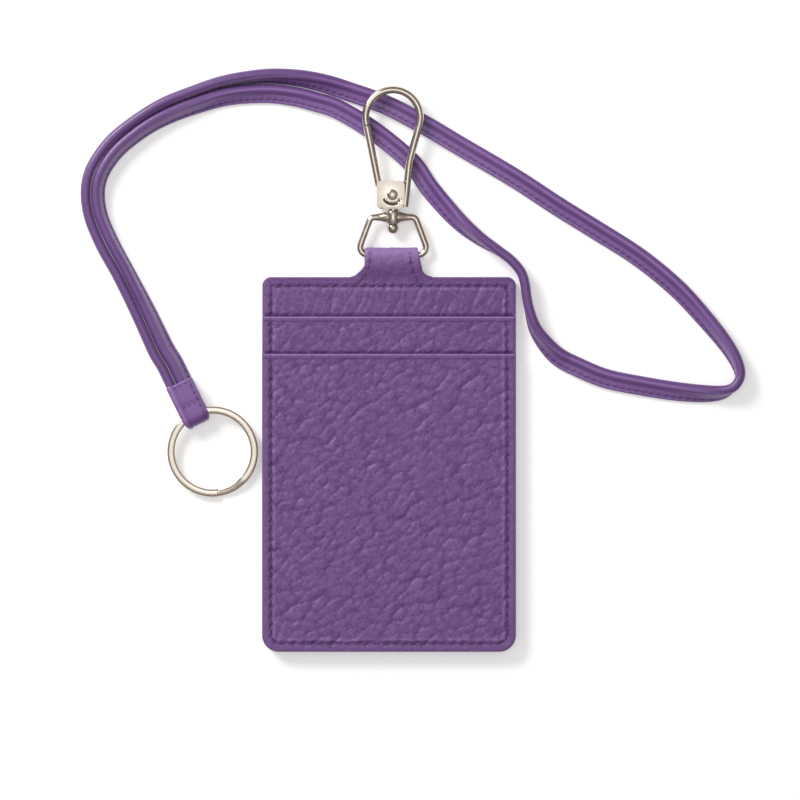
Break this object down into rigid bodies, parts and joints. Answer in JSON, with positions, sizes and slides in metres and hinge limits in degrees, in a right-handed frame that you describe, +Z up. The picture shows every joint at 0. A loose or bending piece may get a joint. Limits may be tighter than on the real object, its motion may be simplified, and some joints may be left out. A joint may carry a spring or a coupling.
{
  "type": "id badge wallet",
  "caption": "Upright leather badge wallet with a clear window at the back, card pockets in front, a swivel snap hook and a leather neck lanyard.",
  "frame": {"origin": "on the surface that the case lies on, below the middle of the case and its hook together", "axes": "+X to the right of the card side, +Y from the case towards the hook, +Z up out of the card side"},
  "size_m": [0.1831, 0.1609, 0.0058],
  "materials": {
    "leather": "tumbled grain, semi-matt",
    "leather_edge": "coated cut edge, satin",
    "strap_leather": "smooth, satin",
    "lining": "matt",
    "film": "clear",
    "board": "matt",
    "nickel": "polished",
    "spring_steel": "bright"
  },
  "bodies": {
    "case": {"window_panel": "leather", "window_film": "film", "pocket_spacer": "leather_edge", "pocket_lining": "lining", "stiffener_board": "board", "front_panel": "leather", "upper_pocket_lining": "lining", "upper_pocket": "leather", "lower_pocket_lining": "lining", "lower_pocket": "leather", "edge_coat": "leather_edge", "strap": "strap_leather", "strap_end_loop": "strap_leather"},
    "eye": {"swivel_eye": "nickel"},
    "hook": {"swivel_stem": "nickel", "hook_body": "nickel", "hook_wire": "nickel", "gate_pin": "nickel", "gate_spring": "spring_steel"},
    "gate": {"gate": "nickel"},
    "ring": {"split_ring": "nickel"}
  },
  "joints": [
    {"name": "eye_swing", "type": "hinge", "parent": "case", "child": "eye", "pos_m": [0.0011, 0.03159, 0.0022], "axis": [1, 0, 0], "range_deg": [-120, 130], "deforming": ["strap"]},
    {"name": "hook_swivel", "type": "hinge", "parent": "eye", "child": "hook", "pos_m": [0.0011, 0.03159, 0.0022], "axis": [0, 0.9984, 0.0558], "continuous": true, "deforming": ["strap"]},
    {"name": "gate_open", "type": "hinge", "parent": "hook", "child": "gate", "pos_m": [0.00095, 0.04809, 0.00312], "axis": [0, 0.0558, -0.9984], "range_deg": [0, 28], "stiffness_Nm_per_rad": 0.01, "springref_deg": -11.46, "deforming": ["gate_spring"]},
    {"name": "ring_swing", "type": "hinge", "parent": "case", "child": "ring", "pos_m": [-0.05362, -0.01279, 0.0028], "axis": [-0.8988, -0.4384, 0], "range_deg": [-120, 120]}
  ]
}
